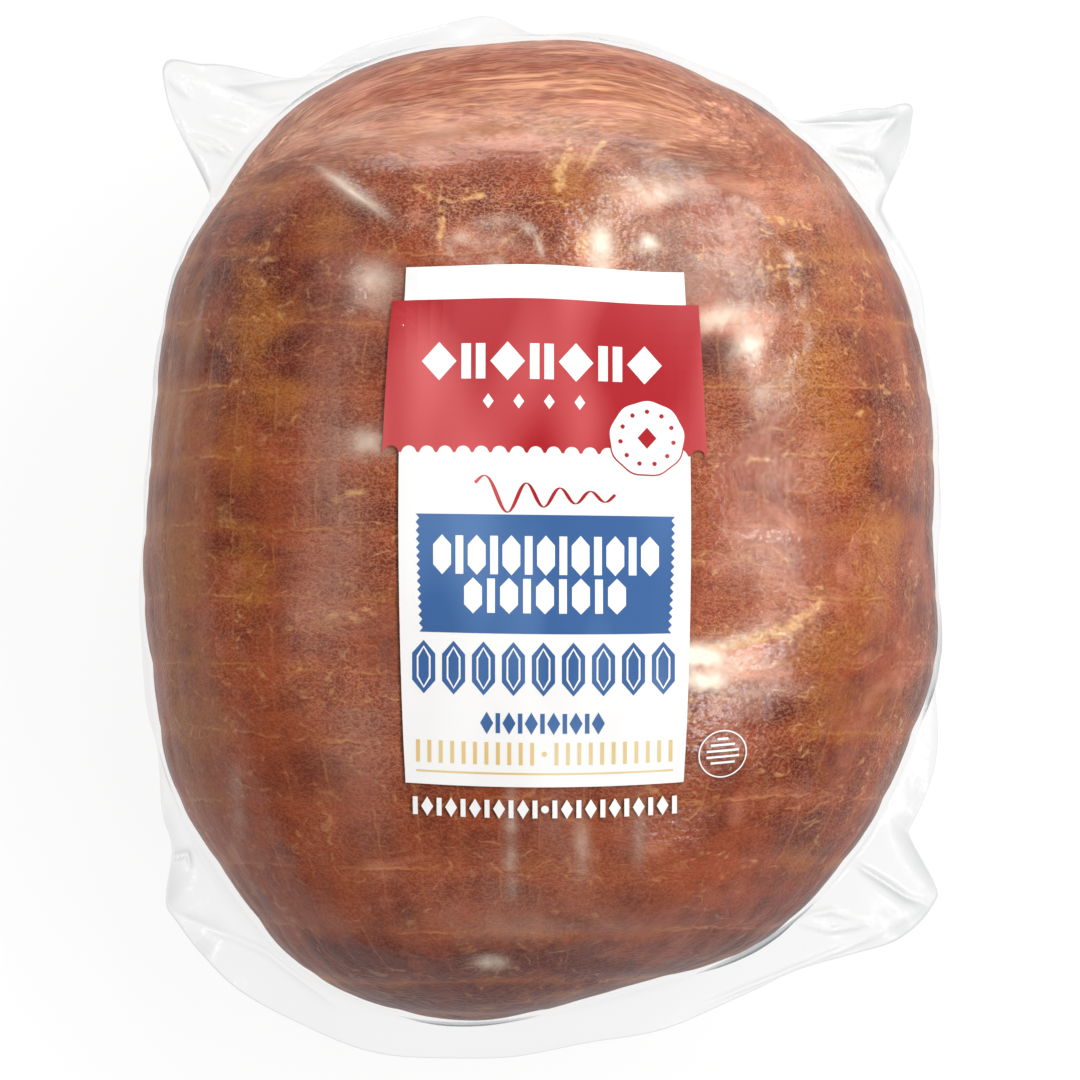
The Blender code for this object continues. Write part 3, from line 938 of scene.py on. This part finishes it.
facing = add_node(tree, "ShaderNodeLayerWeight", inputs={"Blend": 0.5}, out=1)
loose = add_node(tree, "ShaderNodeAttribute", {"attribute_name": "margin"}, out=2)
thick = add_node(
    tree,
    "ShaderNodeMapRange",
    inputs={"Value": facing, "From Min": 0.02, "From Max": 0.75, "To Max": 0.75},
)
thick = add_node(tree, "ShaderNodeMath", {"operation": "MULTIPLY"}, {0: thick, 1: loose})
tint = add_node(
    tree,
    "ShaderNodeMix",
    {"data_type": "RGBA"},
    {0: thick, 6: linear(FILM_CLEAR), 7: linear(FILM_FOLD)},
    out=2,
)
clear = add_node(tree, "ShaderNodeBsdfTransparent", inputs={"Color": tint})
gloss = add_node(
    tree,
    "ShaderNodeBsdfAnisotropic",
    inputs={"Color": linear("#ffffff"), "Roughness": 0.19, "Normal": bump},
)
mirror = add_node(tree, "ShaderNodeFresnel", inputs={"IOR": 1.45, "Normal": bump})
mirror = add_node(tree, "ShaderNodeMath", {"operation": "MULTIPLY"}, {0: mirror, 1: 0.80})
mirror = add_node(tree, "ShaderNodeMath", {"operation": "MINIMUM"}, {0: mirror, 1: 0.034})
# The loose margin is less smooth, and mirrors less.
dull = add_node(tree, "ShaderNodeMapRange", inputs={"Value": loose, "To Min": 1.0, "To Max": 0.45})
mirror = add_node(tree, "ShaderNodeMath", {"operation": "MULTIPLY"}, {0: mirror, 1: dull})
shader = add_node(tree, "ShaderNodeMixShader", inputs={0: mirror, 1: clear, 2: gloss})
# Painted highlights: a pale diffuse layer on the film, in spots and lines of glare.
cloud = add_node(tree, "ShaderNodeAttribute", {"attribute_name": "cloud"}, out=2)
glare_sheet = add_node(tree, "ShaderNodeBsdfDiffuse", inputs={"Color": linear(FILM_GLARE)})
shader = add_node(tree, "ShaderNodeMixShader", inputs={0: cloud, 1: shader, 2: glare_sheet})
add_node(tree, "ShaderNodeOutputMaterial", inputs={"Surface": shader})

# The merged mesh keeps a vertex for each place, so the margin is found again from its distance.
film = add_piece("film_bag", bm, film_sheet)
# The film's shadow is left out: clear film casts next to none. Its spots of painted glare would cast
# a little.
film.visible_shadow = False
corners = np.array([vertex.co[:] for vertex in film.data.vertices])
beyond = np.hypot(corners[:, 0], corners[:, 1]) - plan_radius(np.arctan2(corners[:, 1], corners[:, 0]))
to_edge = margin(np.arctan2(corners[:, 1], corners[:, 0])) - beyond
folded = smooth_step((beyond - 0.0020) / 0.0012) * (0.3 + 0.7 * smooth_step(to_edge / 0.0012))
add_layer(film, "margin", folded)
glare = soft_spots(corners[:, 0], corners[:, 1], GLARE_SPOTS)
for points, width, strength in GLARE_LINES:
    glare = np.maximum(glare, strength * line_share(corners[:, 0], corners[:, 1], points, width))
glare *= corners[:, 2] > WIDEST_LEVEL
# The painted glare is patchy, in patches of about 5 mm and 2 mm.
patches = corners[glare > 0.01] * (0.6, 1.4, 1.0)
patchy = 0.85 + 1.0 * noise_at(patches, 0.0055, 21) + 0.6 * noise_at(patches, 0.0024, 22)
glare[glare > 0.01] *= np.clip(patchy, 0.35, 1.25)
add_layer(film, "cloud", glare)
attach(film, "root")
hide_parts("bagged_ham")

# The label: white film stock with a red band, a blue panel and rows of plain marks printed on
# it, laid on the top of the bag. Each colour is a thin layer that follows the ham's form.
LABEL_BOW = 0.0016
TOP_SLANT = 0.024
LABEL_BOTTOM = LABEL_MIDDLE[1] - LABEL_HEIGHT / 2
LABEL_TOP = LABEL_MIDDLE[1] + LABEL_HEIGHT / 2
FOOT_SAG = 0.0011
TOP_WAVE = 0.0005
CELL = 0.003
# How far each layer's underside lies off the ham, in mm: marks on bare film, the sheet, the band,
# marks on the sheet, and marks on those, up to the seal's.
BARE_FILM_LIFT = 0.62
SHEET_LIFT = 0.70
BAND_LIFT = 0.75
INK_LIFT = 0.76
SECOND_INK_LIFT = 0.80
THIRD_INK_LIFT = 0.84
FOURTH_INK_LIFT = 0.88
SHEET_THICKNESS = 0.09
BAND_THICKNESS = 0.08
INK_THICKNESS = 0.07
TOP_INK_THICKNESS = 0.06


def bowed_edge(side, y):
    """X of the label's left (-1) or right (1) edge."""
    along = (y - LABEL_MIDDLE[1]) / (LABEL_HEIGHT / 2)
    return LABEL_MIDDLE[0] + side * (LABEL_WIDTH / 2 + LABEL_BOW * (1 - along * along))


def add_outline(bm, points):
    """A flat face with this outline."""
    return bm.faces.new([bm.verts.new((x, y, 0.0)) for x, y in points])


def add_mark(bm, sides, x, y, width, height):
    """A flat even-sided mark, in mm, or an upright bar where sides is 0."""
    size = Matrix.Diagonal((width / 2000, height / 2000, 1.0, 1.0))
    place = Matrix.Translation((x / 1000, y / 1000, 0.0)) @ size
    if sides:
        bmesh.ops.create_circle(bm, cap_ends=True, segments=sides, radius=1.0, matrix=place)
    else:
        bmesh.ops.create_grid(bm, x_segments=1, y_segments=1, size=1.0, matrix=place)


def add_row(bm, pattern, marks, left, right, level):
    """A row of marks, one for each letter of the pattern, spread evenly from left to right."""
    widths = [marks[letter][1] for letter in pattern]
    gap = (right - left - sum(widths)) / (len(pattern) - 1)
    for index, letter in enumerate(pattern):
        sides, width, height = marks[letter]
        add_mark(bm, sides, left + sum(widths[:index]) + gap * index + width / 2, level, width, height)


def drape(bm, lift, thickness):
    """Cuts flat shapes into small cells, gives them thickness and lays them on the ham, in mm."""
    bmesh.ops.recalc_face_normals(bm, faces=bm.faces[:])
    for axis in (0, 1):
        ends = [vertex.co[axis] for vertex in bm.verts]
        first, last = math.ceil(min(ends) / CELL), math.floor(max(ends) / CELL)
        for step in range(first, last + 1):
            plane = Vector((0, 0, 0))
            plane[axis] = step * CELL + 0.00011
            normal = Vector((0, 0, 0))
            normal[axis] = 1.0
            geometry = bm.verts[:] + bm.edges[:] + bm.faces[:]
            bmesh.ops.bisect_plane(bm, geom=geometry, dist=0.000001, plane_co=plane, plane_no=normal)
    pushed = bmesh.ops.extrude_face_region(bm, geom=bm.faces[:])["geom"]
    risen = [item for item in pushed if isinstance(item, bmesh.types.BMVert)]
    bmesh.ops.translate(bm, verts=risen, vec=(0, 0, thickness / 1000))
    flat = np.array([vertex.co[:] for vertex in bm.verts])
    x, y = flat[:, 0], flat[:, 1]
    # The label slants down to the right toward its top, sags along its foot and waves along its top.
    share = (y - LABEL_BOTTOM) / LABEL_HEIGHT
    across = (x - LABEL_MIDDLE[0]) / (LABEL_WIDTH / 2)
    y = y - TOP_SLANT * x * share
    y = y - FOOT_SAG * (1 - across * across) * np.clip(1 - 2 * share, -0.2, 1.0)
    y = y + TOP_WAVE * np.cos(3.6 * across + 0.3) * np.clip(2 * share - 1, 0.0, 1.0) ** 2
    for vertex, place in zip(bm.verts, top_points(x, y, lift / 1000 + flat[:, 2])):
        vertex.co = place
    bmesh.ops.recalc_face_normals(bm, faces=bm.faces[:])


def printed_ink(name, hex_colour, painted_sheen_colour):
    """A material for one printed colour: glossy, with soft slanting streaks of sheen painted into its
    colour.
    """
    made, tree = start_material(name)
    place = add_node(tree, "ShaderNodeTexCoord", out=3)
    slanted = add_node(
        tree,
        "ShaderNodeMapping",
        inputs={"Vector": place, "Rotation": (0, 0, 0.6), "Scale": (1, 0.3, 1)},
    )
    sheen = add_node(tree, "ShaderNodeTexNoise", inputs={"Vector": slanted, "Scale": 48.0, "Detail": 1.0})
    sheen = add_node(
        tree,
        "ShaderNodeMapRange",
        inputs={"Value": sheen, "From Min": 0.47, "From Max": 0.70, "To Max": 0.9},
    )
    colour = add_node(
        tree,
        "ShaderNodeMix",
        {"data_type": "RGBA"},
        {0: sheen, 6: linear(hex_colour), 7: linear(painted_sheen_colour)},
        out=2,
    )
    wave = add_node(tree, "ShaderNodeTexNoise", inputs={"Vector": slanted, "Scale": 70.0, "Detail": 1.0})
    bump = add_node(tree, "ShaderNodeBump", inputs={"Height": wave, "Strength": 0.4, "Distance": 0.0010})
    shader = add_node(
        tree,
        "ShaderNodeBsdfPrincipled",
        inputs={"Base Color": colour, "Roughness": 0.32, "IOR": 1.45, "Normal": bump},
    )
    add_node(tree, "ShaderNodeOutputMaterial", inputs={"Surface": shader})
    return made


def add_print(name, bm, made_of):
    """Adds a layer of the label and fixes it to the part."""
    piece = add_piece(name, bm, made_of, smooth=False)
    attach(piece, "root")
    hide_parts("label")


white_stock = printed_ink("white_label_film", "#f4f3f1", "#fbfbfa")
bm = bmesh.new()
heights = np.linspace(LABEL_TOP, LABEL_BOTTOM, 13)
edge = [(bowed_edge(-1, y), y) for y in heights] + [(bowed_edge(1, y), y) for y in heights[::-1]]
add_outline(bm, edge)
drape(bm, SHEET_LIFT, SHEET_THICKNESS)
add_print("label_sheet", bm, white_stock)

# The red band is wider than the sheet at both sides, and its lower edge is cut in scallops.
BAND_TOP = 0.0551
BAND_BOTTOM = 0.0186
BAND_TOP_WIDTH = 0.0748
BAND_BOTTOM_WIDTH = 0.0790
SCALLOP_PITCH = 0.0043
SCALLOP_DEPTH = 0.0016
SCALLOP_STEPS = 16

red_ink = printed_ink("red_ink_on_film", "#ab1a24", "#d96466")
bm = bmesh.new()
left = LABEL_MIDDLE[0] - BAND_BOTTOM_WIDTH / 2
edge = [(LABEL_MIDDLE[0] + side * BAND_TOP_WIDTH / 2, BAND_TOP) for side in (-1, 1)]
scallops = int(BAND_BOTTOM_WIDTH / SCALLOP_PITCH)
lower = []
for index in range(scallops * SCALLOP_STEPS + 1):
    share = index / SCALLOP_STEPS % 1.0
    raised = SCALLOP_DEPTH * max(0.0, 1 - ((share - 0.5) / 0.40) ** 2) ** 0.5
    lower.append(
        (left + BAND_BOTTOM_WIDTH * index / (scallops * SCALLOP_STEPS), BAND_BOTTOM - 0.0008 + raised),
    )
add_outline(bm, edge + lower[::-1])
drape(bm, BAND_LIFT, BAND_THICKNESS)
add_print("red_band", bm, red_ink)

# White marks on the band: a row of lozenges and upright bars, and a row of small lozenges.
white_ink = printed_ink("white_ink_on_film", "#f6f5f3", "#fdfdfc")
bm = bmesh.new()
add_row(bm, "dppdppdppd", {"d": (4, 8.4, 9.4), "p": (0, 2.3, 8.6)}, -28.9, 29.3, 39.9)
add_row(bm, "dddd", {"d": (4, 2.6, 3.6)}, -14.1, 10.7, 30.2)
drape(bm, SECOND_INK_LIFT, TOP_INK_THICKNESS)
add_print("white_marks_on_band", bm, white_ink)

# A plain seal overlaps the band's lower edge: a nine-sided white field with a red outline, a
# ring of red dots and a lozenge.
SEAL_PLACE = (25.7, 22.0)
SEAL_RADIUS = 9.0
for name, radius, lift, ink in (
    ("seal_outline", SEAL_RADIUS + 0.35, SECOND_INK_LIFT, red_ink),
    ("seal_field", SEAL_RADIUS, THIRD_INK_LIFT, white_ink),
):
    bm = bmesh.new()
    turns = np.linspace(0, 2 * math.pi, 91)[:-1]
    reaches = radius * (1 + 0.016 * np.cos(9 * (turns - 0.15))) / 1000
    middle_x, middle_y = SEAL_PLACE[0] / 1000, SEAL_PLACE[1] / 1000
    add_outline(
        bm,
        [(middle_x + r * math.cos(t), middle_y + r * math.sin(t)) for r, t in zip(reaches, turns)],
    )
    drape(bm, lift, TOP_INK_THICKNESS)
    add_print(name, bm, ink)
bm = bmesh.new()
for index in range(11):
    turn = math.radians(90 + index * 360 / 11)
    add_mark(bm, 12, SEAL_PLACE[0] + 6.5 * math.cos(turn), SEAL_PLACE[1] + 6.5 * math.sin(turn), 1.1, 1.1)
add_mark(bm, 4, SEAL_PLACE[0], SEAL_PLACE[1], 4.6, 5.2)
drape(bm, FOURTH_INK_LIFT, TOP_INK_THICKNESS)
add_print("seal_dots", bm, red_ink)

# A red flourish under the band: one thin wave that dies away to the right.
FLOURISH_LEFT = -16.0
FLOURISH_RIGHT = 18.0
FLOURISH_LEVEL = 7.4
bm = bmesh.new()
shares = np.linspace(0, 1, 97)
wave_x = FLOURISH_LEFT + (FLOURISH_RIGHT - FLOURISH_LEFT) * shares
wave_turn = 2 * math.pi * (4.0 * shares**1.25 + 0.1)
wave_y = FLOURISH_LEVEL + (4.2 * (1 - shares) ** 1.6 + 1.1) * np.sin(wave_turn)
half = 0.12 + 0.36 * np.abs(np.cos(wave_turn)) * (1 - 0.3 * shares)
slope_x, slope_y = np.gradient(wave_x), np.gradient(wave_y)
slope = np.hypot(slope_x, slope_y)
over = np.stack([wave_x - slope_y / slope * half, wave_y + slope_x / slope * half], axis=1) / 1000
under = np.stack([wave_x + slope_y / slope * half, wave_y - slope_x / slope * half], axis=1) / 1000
for index in range(len(shares) - 1):
    add_outline(bm, [over[index], over[index + 1], under[index + 1], under[index]])
bmesh.ops.remove_doubles(bm, verts=bm.verts[:], dist=0.000001)
drape(bm, INK_LIFT, INK_THICKNESS)
add_print("red_flourish", bm, red_ink)

# The blue panel has notched sides and two rows of white lozenge-ended blocks and bars.
PANEL_LEFT = -30.4
PANEL_RIGHT = 32.5
PANEL_TOP = 3.0
PANEL_BOTTOM = -25.4
NOTCHES = 14
NOTCH_DEPTH = 0.85

blue_ink = printed_ink("blue_ink_on_film", "#3b639a", "#5b7fb1")
bm = bmesh.new()
steps = np.arange(2 * NOTCHES + 1)
notch_y = PANEL_TOP + (PANEL_BOTTOM - PANEL_TOP) * steps / (2 * NOTCHES)
notch_in = np.where(steps % 2 == 0, 0.0, NOTCH_DEPTH) + 0.9 * ((notch_y - PANEL_TOP) / 28.4) ** 2
edge = [(PANEL_LEFT + inward, y) for y, inward in zip(notch_y, notch_in)]
edge += [(PANEL_RIGHT - inward, y) for y, inward in zip(notch_y[::-1], notch_in[::-1])]
add_outline(bm, [(x / 1000, y / 1000) for x, y in edge])
drape(bm, INK_LIFT, INK_THICKNESS)
add_print("blue_panel", bm, blue_ink)
bm = bmesh.new()
add_row(bm, "hphphphphphph", {"h": (6, 5.0, 9.6), "p": (0, 1.9, 9.2)}, -26.5, 28.9, -6.7)
add_row(bm, "hphphphph", {"h": (6, 5.0, 8.6), "p": (0, 1.9, 8.2)}, -19.0, 20.9, -16.4)
drape(bm, SECOND_INK_LIFT, TOP_INK_THICKNESS)
add_print("white_marks_on_panel", bm, white_ink)

# Below the panel: tall blue blocks with a white line inside each, and a row of small marks.
BLOCK_WIDTH = 6.5
BLOCK_HEIGHT = 12.9
BLOCK_PITCH = 7.27
FIRST_BLOCK = -28.5
BLOCK_LEVEL = -33.8
for name, share, lift, ink in (
    ("blue_blocks", 1.0, INK_LIFT, blue_ink),
    ("white_inlines", 0.60, SECOND_INK_LIFT, white_ink),
    ("blue_cores", 0.44, THIRD_INK_LIFT, blue_ink),
):
    bm = bmesh.new()
    inset = (1 - share) * BLOCK_WIDTH
    for index in range(9):
        place_x = FIRST_BLOCK + index * BLOCK_PITCH
        add_mark(bm, 6, place_x, BLOCK_LEVEL, BLOCK_WIDTH - inset, BLOCK_HEIGHT - inset)
    drape(bm, lift, INK_THICKNESS)
    add_print(name, bm, ink)
bm = bmesh.new()
add_row(bm, "dpdpdpdpdpd", {"d": (4, 3.2, 5.4), "p": (0, 1.1, 4.8)}, -14.8, 15.5, -46.8)
drape(bm, INK_LIFT, INK_THICKNESS)
add_print("blue_small_marks", bm, blue_ink)

# Thin gold bars either side of a dot, and a gold rule.
gold_ink = printed_ink("gold_ink_on_film", "#e0bf7a", "#ecd6a6")
bm = bmesh.new()
add_row(bm, "pppppppppppdppppppppppp", {"p": (0, 0.95, 5.4), "d": (12, 1.3, 1.3)}, -30.4, 32.0, -54.1)
add_mark(bm, 0, 0.9, -58.9, 62.6, 0.45)
drape(bm, INK_LIFT, INK_THICKNESS)
add_print("gold_marks", bm, gold_ink)

# White marks printed straight on the clear film: a row below the label, and a thin ring with
# short bars in it.
RING_PLACE = (44.4, -55.9)
RING_RADIUS = 6.0
RING_WIDTH = 0.32
bm = bmesh.new()
row = "pdpdpdpdpdpopdpdpdpdpdp"
add_row(bm, row, {"p": (0, 1.2, 4.4), "d": (4, 2.9, 4.8), "o": (12, 1.9, 1.9)}, -31.3, 33.2, -67.6)
for index, width in enumerate((2.6, 6.0, 8.0, 8.0, 6.0)):
    add_mark(bm, 0, RING_PLACE[0], RING_PLACE[1] + 3.8 - index * 1.5, width, 0.55)
turns = np.linspace(0, 2 * math.pi, 73)
for first, second in zip(turns[:-1], turns[1:]):
    corners = [
        (first, RING_RADIUS),
        (second, RING_RADIUS),
        (second, RING_RADIUS - RING_WIDTH),
        (first, RING_RADIUS - RING_WIDTH),
    ]
    corners = [(RING_PLACE[0] + r * math.cos(t), RING_PLACE[1] + r * math.sin(t)) for t, r in corners]
    add_outline(bm, [(x / 1000, y / 1000) for x, y in corners])
bmesh.ops.remove_doubles(bm, verts=bm.verts[:], dist=0.000001)
drape(bm, BARE_FILM_LIFT, TOP_INK_THICKNESS)
add_print("white_marks_on_film", bm, white_ink)
